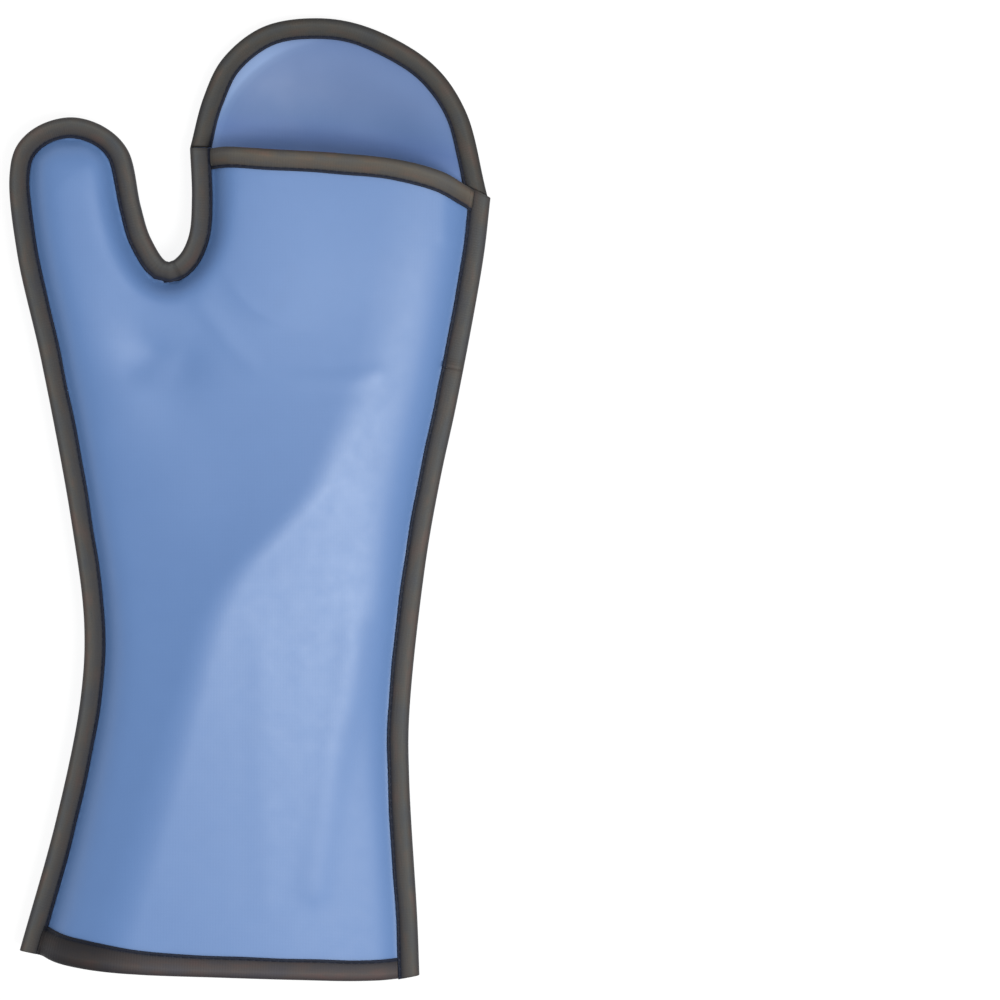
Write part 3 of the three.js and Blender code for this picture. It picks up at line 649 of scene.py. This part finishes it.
def crossing(a, b):
    """Where line a, near its end, meets line b, near its start."""
    for i in range(len(a) - 1, 0, -1):
        p, d = a[i - 1], a[i] - a[i - 1]
        q, e = b[:-1], b[1:] - b[:-1]
        cross = d[0] * e[:, 1] - d[1] * e[:, 0]
        w = q - p
        with np.errstate(divide="ignore", invalid="ignore"):
            f = (w[:, 0] * e[:, 1] - w[:, 1] * e[:, 0]) / cross
            g = (w[:, 0] * d[1] - w[:, 1] * d[0]) / cross
        hits = np.nonzero((f >= 0) & (f <= 1) & (g >= 0) & (g <= 1))[0]
        if len(hits):
            j = hits[0]
            return i, j, p + f[j] * d
    raise ValueError("two edges of a panel do not meet")


def outline(chain, offset, spacing):
    """Closed loop at an offset inside the paths. A row of the chain is a path, whether it is taken
    forward, and whether the next one goes on smoothly."""
    lines = []
    for i, (path, forward, smooth) in enumerate(chain):
        before = chain[i - 1][2]
        low = 0.0 if (before if forward else smooth) else -CORNER_REACH
        high = path.length if (smooth if forward else before) else path.length + CORNER_REACH
        runs = np.linspace(low, high, max(3, int((high - low) / spacing)))
        line = path.inward(runs, np.full(len(runs), offset))
        lines.append(line if forward else line[::-1])
    for i, (_, _, smooth) in enumerate(chain):
        k = (i + 1) % len(chain)
        if smooth:
            lines[k] = lines[k][1:]
            continue
        a, b, corner = crossing(lines[i], lines[k])
        lines[i] = np.vstack([lines[i][:a], corner])
        lines[k] = lines[k][b + 1:]
    return np.vstack(lines)


def inside_loop(loop, p):
    inside = np.zeros(len(p), bool)
    x, y = p.T
    for a, b in zip(loop, np.roll(loop, -1, axis=0)):
        crosses = (a[1] > y) != (b[1] > y)
        with np.errstate(divide="ignore", invalid="ignore"):
            inside ^= crosses & (x < (b[0] - a[0]) * (y - a[1]) / (b[1] - a[1]) + a[0])
    return inside


def panel(name, chain, height, spacing, outer, inner):
    """A sheet of the wall's thickness over the outline. outer and inner are the materials above and below."""
    loop = outline(chain, RAW, spacing)
    keep = np.hypot(*(loop - np.roll(loop, -1, axis=0)).T) > spacing * EDGE_APART
    loop = loop[keep]
    low = loop.min(0)
    high = loop.max(0)
    row_height = spacing * math.sqrt(0.75)
    xs = np.arange(low[0], high[0], spacing)
    ys = np.arange(low[1], high[1], row_height)
    grid = np.stack(np.meshgrid(xs, ys), -1)
    grid[1::2, :, 0] += spacing / 2
    grid = grid.reshape(-1, 2)
    grid = grid[inside_loop(loop, grid)]
    grid = grid[distance_to(np.vstack([loop, loop[:1]]), grid) > spacing * GRID_INSET]
    flat = np.vstack([loop, grid])
    count = len(loop)
    edges = [(i, (i + 1) % count) for i in range(count)]
    made = delaunay_2d_cdt([Vector(q) for q in flat], edges, [], 1, 1e-9)
    flat = np.array([tuple(q) for q in made[0]])
    faces = np.array(made[2])
    n = normals_of(height, flat)
    middle = np.column_stack([flat, height(flat)])
    above = middle + n * WALL / 2
    below = middle - n * WALL / 2
    a, b, c = (flat[faces[:, k]] for k in range(3))
    turned = np.cross(b - a, c - a) < 0
    faces[turned] = faces[turned][:, ::-1]
    size = len(flat)
    every = [tuple(f) for f in faces] + [tuple(f[::-1] + size) for f in faces]
    used = {}
    for f in faces.tolist():
        for u, v in zip(f, f[1:] + f[:1]):
            used[(u, v)] = True
    rim = [(u, v) for (u, v) in used if (v, u) not in used]
    every += [(v, u, u + size, v + size) for u, v in rim]
    material = [0] * len(faces) + [1] * len(faces) + [0] * len(rim)
    return mesh_object(name, np.vstack([above, below]), every, [outer, inner], material)


LOWER_CHAIN = [(little_path, False, False), (hem_path, False, False)]
PALM_CHAIN = [(side_path, True, False), (mouth_path, True, False)] + LOWER_CHAIN
BACK_CHAIN = [(side_path, True, True), (moon_path, True, True)] + LOWER_CHAIN
PALM_SPACING = 1.7 * MM
BACK_SPACING = 2.2 * MM


# Tapes
# Rolled free edge and the seam in it, as mm in from the edge and mm up from where it touches the cloth
FREE_EDGE = [(0.0, 0.45), (0.12, 0.72), (0.45, 0.86), (0.8, 0.74), (1.0, 0.62), (1.3, 0.74)]
# The flat past it, as mm in from the edge and mm up from the tape's plain face
FLAT = [(1.8, -0.10), (2.8, 0.04), (4.2, 0.05)]
STITCH_ROW = 4             # row of FREE_EDGE that the stitches lie in
STITCH_IN, STITCH_SEAT = (v * MM for v in FREE_EDGE[STITCH_ROW])
FOLD_DEPTH = 2.0 * MM
FOLD_POINTS = 13
FOLD_POWER = 2.5           # of the superellipse that the fold follows
FACE_LIFT = 0.4 * MM       # points of the section farther than this from the cloth are of its outer face
TAPE_STEP = 1.6 * MM
MITRE_REACH = 18 * MM      # how far a slanting end leans into the tape
SWELL_WAVE = 0.021
SWELL = 0.10 * MM
WIDTH_WAVE = 0.05
WIDTH_WAVER = 0.018
LAP_RISE = TAPE + 0.1 * MM
LAP_STEP = 2 * MM          # run over which a lapping end climbs on its neighbour
LAP_IN = 1.5 * MM          # where it is up, inward from the end
SEEN_LAP = 0.3             # share of the rise on the face that is seen
# Tapes that are wider where they start: more in shares of the width, and over how long
FLARED = {"palm_hem_tape": (0.40, 0.045)}


def tape_profile(cloth):
    """Cross-section of a folded tape round a wall that reaches cloth to each side of its middle, as
    (inward, up) pairs with the outer face first, and the share across the tape of each pair."""
    top = cloth + GAP + TAPE
    free = cloth + TOUCH
    flat = [(SEEN_WIDTH - a * MM, free + b * MM) for a, b in FREE_EDGE]
    flat += [(SEEN_WIDTH - a * MM, top + b * MM) for a, b in FLAT]
    fold = []
    for k in range(FOLD_POINTS):
        turn = math.pi / 2 * k / (FOLD_POINTS - 1)
        a = FOLD_DEPTH * (1 - math.cos(math.pi / 2 - turn) ** (2 / FOLD_POWER))
        b = top * math.sin(math.pi / 2 - turn) ** (2 / FOLD_POWER)
        fold.append((a, b))
    half = flat + fold
    outer = half + [(a, -b) for a, b in reversed(half[:-1])]
    under = cloth + 0.5 * GAP
    inner = [(SEEN_WIDTH, free), (SEEN_WIDTH - 2 * MM, under), (TAPE, under), (TAPE, 0)]
    inner = [(a, -b) for a, b in inner] + [(a, b) for a, b in reversed(inner[:-1])]
    steps = np.hypot(*np.diff(np.array(outer), axis=0).T)
    share = np.concatenate([[0], np.cumsum(steps)]) / steps.sum()
    share = np.concatenate([share, np.linspace(1, 0, len(inner))])
    return np.array(outer + inner), share


def wobble(seed, runs, wave, size):
    """Slow seeded waver along a run."""
    rng = random.Random(seed)
    total = np.zeros(len(runs))
    for k in range(4):
        total += math.cos(k) * np.sin(2 * math.pi * runs / (wave * (0.6 + 0.35 * k)) + rng.uniform(0, 6.28))
    return size * total / 2


def skew_at(path, s, ends, cut):
    """Lean of the tape's section at each run, so that its ends lie along the directions in cut."""
    total = np.zeros(len(s))
    for where, toward in zip(ends, cut):
        if toward is None:
            continue
        t = path.along(where)
        n = np.array([t[1], -t[0]]) * path.turn
        lean = (toward @ t) / (toward @ n)
        total += lean * np.clip(1 - np.abs(s - where) / MITRE_REACH, 0, 1)
    return total


def width_at(name, seed, runs, start):
    """Width of a tape along its run, against its plain width."""
    more, reach = FLARED.get(name, (0.0, 1.0))
    return 1 + wobble(seed, runs, WIDTH_WAVE, WIDTH_WAVER) + more * np.exp(-(((runs - start) / reach) ** 2))


def on_cloth(middle, p, lift):
    """Points at a height over the cloth's middle: straight up from a seam, and else along the normal."""
    if middle is seam_height:
        return np.column_stack([p, seam_height(p[:, 1]) + lift])
    return np.column_stack([p, middle(p)]) + normals_of(middle, p) * lift[:, None]


# A tape between two runs of a path. cloth is how far the wall reaches to each side of its middle, middle
# gives that middle's height, and cut the directions that the ends lie along. tuck is the side of the
# hidden face, 1 or -1, and how far that face stays back at each end. over is how far each end laps over
# its neighbour
Tape = namedtuple(
    "Tape", "name node path start end cloth middle cut material slot tuck over", defaults=(None, (0, 0)))


def tape_mesh(t, seed):
    """The tape's section swept along its run."""
    profile, share = tape_profile(t.cloth)
    count = max(8, int((t.end - t.start) / TAPE_STEP))
    runs = np.linspace(t.start - t.over[0], t.end + t.over[1], count)
    skew = skew_at(t.path, runs, (t.start, t.end), t.cut)
    swellings = wobble(seed + 1, runs, SWELL_WAVE, SWELL)
    lap = np.zeros(count)
    if t.over[0]:
        lap = np.maximum(lap, easing((t.start + LAP_IN - runs) / LAP_STEP))
    if t.over[1]:
        lap = np.maximum(lap, easing((runs - t.end + LAP_IN) / LAP_STEP))
    m = len(profile)
    outer = np.abs(profile[:, 1]) > t.cloth + FACE_LIFT
    lap = lap[:, None] * LAP_RISE
    if t.tuck is not None:
        lap = np.where(profile[:, 1] * t.tuck[0] > 0, 0.0, SEEN_LAP * lap)
    raised = outer * swellings[:, None] + lap
    a = profile[:, 0] * width_at(t.name, seed, runs, t.start)[:, None]
    b = profile[:, 1] + np.sign(profile[:, 1]) * raised
    run = np.repeat(runs[:, None], m, axis=1)
    if t.tuck is not None:
        side, back_start, back_end = t.tuck
        hidden = b * side > 0
        run[hidden] = np.clip(run[hidden], t.start + back_start, t.end - back_end)
    p = t.path.inward(run.ravel(), a.ravel(), np.repeat(skew, m))
    verts = on_cloth(t.middle, p, b.ravel())
    r, j = np.meshgrid(np.arange(count - 1), np.arange(m), indexing="ij")
    k = (j + 1) % m
    quads = np.stack([r * m + j, r * m + k, (r + 1) * m + k, (r + 1) * m + j], -1)
    faces = quads.reshape(-1, 4).tolist()
    faces.append(tuple(range(m))[::-1])
    faces.append(tuple(range((count - 1) * m, count * m)))
    uv = np.column_stack([np.repeat(runs, m), np.tile(share, count)])
    obj = mesh_object(t.name, verts, faces, [t.material], uv=uv)
    fix_facing(obj)
    return obj


def fix_facing(obj):
    """Turns the faces out, if the sweep went round the other way."""
    mesh = obj.data
    mesh.calc_loop_triangles()
    corners = np.zeros(len(mesh.vertices) * 3, np.float32)
    mesh.vertices.foreach_get("co", corners)
    ids = np.zeros(len(mesh.loop_triangles) * 3, np.int32)
    mesh.loop_triangles.foreach_get("vertices", ids)
    a, b, c = corners.reshape(-1, 3)[ids].reshape(-1, 3, 3).transpose(1, 0, 2)
    if (a * np.cross(b, c)).sum() < 0:
        mesh.flip_normals()


def dress(obj, node):
    """Puts a piece on its body, in the place of a node."""
    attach(obj, "root")
    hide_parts(node)


palm_cover = panel("palm_cover", PALM_CHAIN, palm_height, PALM_SPACING, PALM_BLUE, BACK_BLUE)
dress(palm_cover, "palm_panel")
back_cover = panel("back_cover", BACK_CHAIN, back_height, BACK_SPACING, MOON_BLUE, PALM_BLUE)
dress(back_cover, "back_panel")

PAIR = HALF_PAIR + WALL / 2  # reach of both walls to each side of the seam's middle
BESIDE = SEEN_WIDTH + 0.5 * GAP
SEARCH = (-5 * MM, 30 * MM, 0.1 * MM)  # runs tried for a tape's end: from, to and step


def run_beside(path, other, at_end):
    """The run on path where it meets the inner edge of the tape on another path."""
    runs = np.arange(*SEARCH)
    s = path.length - runs if at_end else runs
    apart = distance_to(other.points, path.spot(s)) - BESIDE
    return float(s[np.argmin(np.abs(apart))])


def towards(path, at_end, sign=1):
    """Direction of a path at one of its ends."""
    return sign * path.along(path.length if at_end else 0.0)


mouth_from = run_beside(mouth_path, side_path, False)
mouth_to = run_beside(mouth_path, little_path, True)
hem_from = run_beside(hem_path, side_path, False)
hem_to = run_beside(hem_path, little_path, True)
half = GAP / 2

TAPES = [
    Tape("thumb_side_tape", "thumb_side_binding", side_path, 0, crotch_run - half, PAIR, seam_height,
         (towards(hem_path, False), None), SIDE_TAPE, "side_tape", over=(0, 2.5 * MM)),
    Tape("hand_side_tape", "hand_side_binding", side_path, crotch_run + half, side_path.length,
         PAIR, seam_height, (None, towards(mouth_path, False)), SIDE_TAPE, "side_tape"),
    Tape("little_finger_tape_lower", "little_finger_binding_lower", little_path, 0, join_run - half,
         PAIR, seam_height, (towards(hem_path, True, -1), None), SIDE_TAPE, "side_tape"),
    Tape("little_finger_tape_upper", "little_finger_binding_upper", little_path, join_run + half,
         little_path.length, PAIR, seam_height, (None, towards(mouth_path, True, -1)), SIDE_TAPE, "side_tape",
         over=(2.5 * MM, 0)),
    Tape("half_moon_tape", "half_moon_binding", moon_path, 0, moon_path.length + 2.0 * MM,
         WALL / 2, back_height, (towards(mouth_path, False), towards(mouth_path, True, -1)),
         MOON_TAPE, "half_moon_tape"),
    Tape("mouth_tape", "palm_mouth_binding", mouth_path, mouth_from, mouth_to, WALL / 2, palm_height,
         (towards(side_path, True, -1), towards(little_path, True, -1)), MOUTH_TAPE, "mouth_tape",
         tuck=(-1, 1.5 * RAW, 1.5 * RAW), over=(0, 1.6 * MM)),
    Tape("palm_hem_tape", "palm_cuff_binding", hem_path, hem_from, hem_to, WALL / 2, palm_height,
         (towards(side_path, False), towards(little_path, False)), HEM_TAPE, "hem_tape",
         tuck=(-1, 1.9 * RAW, 2.6 * RAW), over=(1.6 * MM, 0)),
    Tape("back_hem_tape", "back_cuff_binding", hem_path, hem_from, hem_to, WALL / 2, back_height,
         (towards(side_path, False), towards(little_path, False)), HEM_TAPE, "hem_tape",
         tuck=(1, 1.9 * RAW, 2.6 * RAW)),
]


# Stitches
STITCH = 2.6 * MM
STITCH_GAP = 0.7 * MM
STITCH_MARGIN = 1 * MM     # before the first stitch and past the last one
THREAD_RADIUS = 0.22 * MM
THREAD_SIDES = 6
# Form of one stitch: place along it, thickness in shares of the radius, rise in mm
THREAD_FORM = [
    (0.00, 0.35, -0.25), (0.08, 0.85, -0.05), (0.30, 1.00, 0.00), (0.50, 1.00, 0.02),
    (0.70, 1.00, 0.00), (0.92, 0.85, -0.05), (1.00, 0.35, -0.25),
]


def stitch_rows(t, seed):
    """A row of thread stitches near the tape's free edge, on both faces."""
    pitch = STITCH + STITCH_GAP
    number = int((t.end - t.start - 2 * STITCH_MARGIN) / pitch)
    starts = t.start + STITCH_MARGIN + pitch * np.arange(number)
    stations, thick, sink = np.array(THREAD_FORM).T
    thick = np.tile(thick, number)
    sink = np.tile(sink, number) * MM
    sides = THREAD_SIDES
    turns = np.linspace(0, 2 * math.pi, sides, endpoint=False)
    s = (starts[:, None] + STITCH * stations).ravel()
    offset = SEEN_WIDTH * width_at(t.name, seed, s, t.start) - STITCH_IN
    p = t.path.inward(s, offset, skew_at(t.path, s, (t.start, t.end), t.cut))
    along = t.path.along(s)
    across = np.column_stack([along[:, 1], -along[:, 0], np.zeros(len(s))])
    n = np.tile([0.0, 0.0, 1.0], (len(s), 1))
    if t.middle is not seam_height:
        n = normals_of(t.middle, p)
    seat = t.cloth + TOUCH + STITCH_SEAT + 0.4 * THREAD_RADIUS + sink
    one = np.arange(len(stations) - 1)[:, None] * sides
    j = np.arange(sides)
    ring = np.stack([one + j, one + (j + 1) % sides, one + (j + 1) % sides + sides, one + j + sides], -1)
    ring = ring.reshape(-1, 4)
    caps = np.array([j[::-1], j + (len(stations) - 1) * sides])
    firsts = len(stations) * sides * np.arange(2 * number)
    faces = (ring[None] + firsts[:, None, None]).reshape(-1, 4).tolist()
    faces += (caps[None] + firsts[:, None, None]).reshape(-1, sides).tolist()
    verts = []
    for up in (1, -1):
        centre = on_cloth(t.middle, p, up * seat)[:, None]
        radius = (THREAD_RADIUS * thick)[:, None, None]
        wide = np.cos(turns)[None, :, None] * across[:, None] * up
        tall = np.sin(turns)[None, :, None] * n[:, None]
        verts.append((centre + radius * (wide + tall)).reshape(-1, 3))
    obj = mesh_object(t.name.replace("tape", "stitches"), np.vstack(verts), faces, [THREAD])
    fix_facing(obj)
    return obj


for index, t in enumerate(TAPES):
    piece = tape_mesh(t, 11 * index)
    dress(piece, t.node)
    stitches = stitch_rows(t, 11 * index)
    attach(stitches, "root")


# Stage, light and camera
FLOOR_HALF = 4.0
FLOOR_TONES = ((0.19, 0.19, 0.19), (0.21, 0.21, 0.21))
FLOOR_GLOW = 0.85          # keeps the ground white and nearly free of shadows
SKY_GLOW = 0.76


def floor():
    mesh = bpy.data.meshes.new("floor")
    corners = [(x * FLOOR_HALF, y * FLOOR_HALF, 0) for x, y in ((-1, -1), (1, -1), (1, 1), (-1, 1))]
    mesh.from_pydata(corners, [], [(0, 1, 2, 3)])
    obj = bpy.data.objects.new("floor", mesh)
    bpy.context.scene.collection.objects.link(obj)
    n = Nodes("floor_paper")
    where = n.add("ShaderNodeTexCoord").outputs["Object"]
    tone = n.noise(where, 3, 2)
    n.join(n.mix(tone, *FLOOR_TONES), n.shader.inputs["Base Color"])
    n.shader.inputs["Emission Color"].default_value = (1, 1, 1, 1)
    n.shader.inputs["Emission Strength"].default_value = FLOOR_GLOW
    n.shader.inputs["Roughness"].default_value = 0.9
    n.shader.inputs["Specular IOR Level"].default_value = 0.1
    mesh.materials.append(n.material)


def area_light(name, location, target, size, power, gloss_only=False, colour=(1, 1, 1)):
    """A round lamp. One that is for gloss only doesn't light the cloth's colour."""
    data = bpy.data.lights.new(name, "AREA")
    data.shape = "DISK"
    data.size = size
    data.energy = power
    data.color = colour
    obj = bpy.data.objects.new(name, data)
    obj.location = location
    obj.rotation_mode = "QUATERNION"
    obj.rotation_quaternion = (Vector(target) - Vector(location)).to_track_quat("-Z", "Y")
    obj.visible_diffuse = not gloss_only
    bpy.context.scene.collection.objects.link(obj)


floor()
world = bpy.data.worlds.new("studio")
world.use_nodes = True
sky = world.node_tree.nodes["Background"]
sky.inputs["Color"].default_value = (1, 1, 1, 1)
sky.inputs["Strength"].default_value = SKY_GLOW
bpy.context.scene.world = world
area_light("key_from_the_right", (0.95, -0.60, 1.90), (0, 0, 0), 0.9, 24)
area_light("sheen_over_the_wrist", (0.23, -0.035, 0.42), (0, -0.04, 0.03), 0.12, 3.1, gloss_only=True,
           colour=(0.94, 0.99, 1.0))
area_light("sheen_over_the_palm", (0.0, 0.12, 0.20), (0.01, 0.10, 0.03), 0.10, 0.10, gloss_only=True)

CAMERA_AT = (0.10395, -0.0008, 1.610)
HALF_FRAME = 0.2079        # half the picture's width at the height of the seam
SEAM_PLANE = 0.010
SENSOR = 36
camera_data = bpy.data.cameras.new("camera")
camera_data.sensor_width = SENSOR
camera_data.lens = SENSOR / 2 * (CAMERA_AT[2] - SEAM_PLANE) / HALF_FRAME
camera = bpy.data.objects.new("camera", camera_data)
camera.location = CAMERA_AT
bpy.context.scene.collection.objects.link(camera)
bpy.context.scene.camera = camera
bpy.context.scene.view_settings.view_transform = "Standard"
